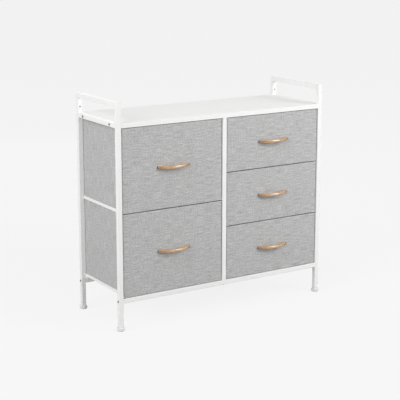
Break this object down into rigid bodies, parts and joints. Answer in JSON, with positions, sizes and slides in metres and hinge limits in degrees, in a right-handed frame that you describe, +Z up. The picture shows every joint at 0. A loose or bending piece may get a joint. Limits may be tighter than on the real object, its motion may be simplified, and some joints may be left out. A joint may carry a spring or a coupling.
{
  "type": "fabric drawer dresser",
  "caption": "Low chest of fabric drawers in an open square-tube steel frame, with a flush top board, bowed wooden handles and raised side rails.",
  "frame": {"origin": "on the floor, under the centre of the whole object with its handles", "axes": "+X to the right along the width as seen from the front, -Y out of the drawer fronts, +Z up"},
  "size_m": [0.861, 0.3294, 0.787],
  "materials": {
    "painted_steel": "satin white powder coat",
    "white_board": "smooth white laminate",
    "fabric": "grey linen weave",
    "drawer_board": "bare fibreboard",
    "handle_wood": "satin lacquered light wood",
    "dark_bolt": "black oxide",
    "zinc_steel": "zinc plated",
    "foot_plastic": "smooth white",
    "insert_plastic": "matt black"
  },
  "bodies": {
    "frame": {"board_barrel_nuts": "zinc_steel", "board_bolts": "dark_bolt", "bottom_rail_bolts": "dark_bolt", "bottom_rail_inserts": "insert_plastic", "front_bottom_rail": "painted_steel", "left_board_rail": "painted_steel", "left_front_post": "painted_steel", "left_lower_runner": "painted_steel", "left_rear_post": "painted_steel", "left_top_rail": "painted_steel", "left_upper_runner": "painted_steel", "leg_inserts": "insert_plastic", "middle_bar_screws": "zinc_steel", "middle_front_post": "painted_steel", "middle_left_runners": "painted_steel", "middle_post_bolts": "dark_bolt", "middle_post_inserts": "insert_plastic", "middle_rear_post": "painted_steel", "middle_right_runners": "painted_steel", "middle_top_bar": "painted_steel", "rear_bottom_rail": "painted_steel", "right_board_rail": "painted_steel", "right_front_post": "painted_steel", "right_lower_runner": "painted_steel", "right_middle_runner": "painted_steel", "right_rear_post": "painted_steel", "right_top_rail": "painted_steel", "right_upper_runner": "painted_steel", "top_board": "white_board"},
    "left_lower_drawer": {"left_lower_drawer_base_board": "drawer_board", "left_lower_drawer_fabric": "fabric", "left_lower_drawer_front_board": "drawer_board", "left_lower_drawer_handle": "handle_wood", "left_lower_drawer_handle_screws": "zinc_steel"},
    "left_upper_drawer": {"left_upper_drawer_base_board": "drawer_board", "left_upper_drawer_fabric": "fabric", "left_upper_drawer_front_board": "drawer_board", "left_upper_drawer_handle": "handle_wood", "left_upper_drawer_handle_screws": "zinc_steel"},
    "right_lower_drawer": {"right_lower_drawer_base_board": "drawer_board", "right_lower_drawer_fabric": "fabric", "right_lower_drawer_front_board": "drawer_board", "right_lower_drawer_handle": "handle_wood", "right_lower_drawer_handle_screws": "zinc_steel"},
    "right_middle_drawer": {"right_middle_drawer_base_board": "drawer_board", "right_middle_drawer_fabric": "fabric", "right_middle_drawer_front_board": "drawer_board", "right_middle_drawer_handle": "handle_wood", "right_middle_drawer_handle_screws": "zinc_steel"},
    "right_upper_drawer": {"right_upper_drawer_base_board": "drawer_board", "right_upper_drawer_fabric": "fabric", "right_upper_drawer_front_board": "drawer_board", "right_upper_drawer_handle": "handle_wood", "right_upper_drawer_handle_screws": "zinc_steel"},
    "left_front_foot": {"left_front_foot": "foot_plastic"},
    "left_rear_foot": {"left_rear_foot": "foot_plastic"},
    "right_front_foot": {"right_front_foot": "foot_plastic"},
    "right_rear_foot": {"right_rear_foot": "foot_plastic"}
  },
  "joints": [
    {"name": "left_lower_drawer_slide", "type": "slide", "parent": "frame", "child": "left_lower_drawer", "axis": [0, -1, 0], "range_m": [0, 0.19]},
    {"name": "left_upper_drawer_slide", "type": "slide", "parent": "frame", "child": "left_upper_drawer", "axis": [0, -1, 0], "range_m": [0, 0.19]},
    {"name": "right_lower_drawer_slide", "type": "slide", "parent": "frame", "child": "right_lower_drawer", "axis": [0, -1, 0], "range_m": [0, 0.19]},
    {"name": "right_middle_drawer_slide", "type": "slide", "parent": "frame", "child": "right_middle_drawer", "axis": [0, -1, 0], "range_m": [0, 0.19]},
    {"name": "right_upper_drawer_slide", "type": "slide", "parent": "frame", "child": "right_upper_drawer", "axis": [0, -1, 0], "range_m": [0, 0.19]},
    {"name": "left_front_foot_screw", "type": "slide", "parent": "frame", "child": "left_front_foot", "axis": [0, 0, -1], "range_m": [0, 0.008]},
    {"name": "left_rear_foot_screw", "type": "slide", "parent": "frame", "child": "left_rear_foot", "axis": [0, 0, -1], "range_m": [0, 0.008]},
    {"name": "right_front_foot_screw", "type": "slide", "parent": "frame", "child": "right_front_foot", "axis": [0, 0, -1], "range_m": [0, 0.008]},
    {"name": "right_rear_foot_screw", "type": "slide", "parent": "frame", "child": "right_rear_foot", "axis": [0, 0, -1], "range_m": [0, 0.008]}
  ]
}
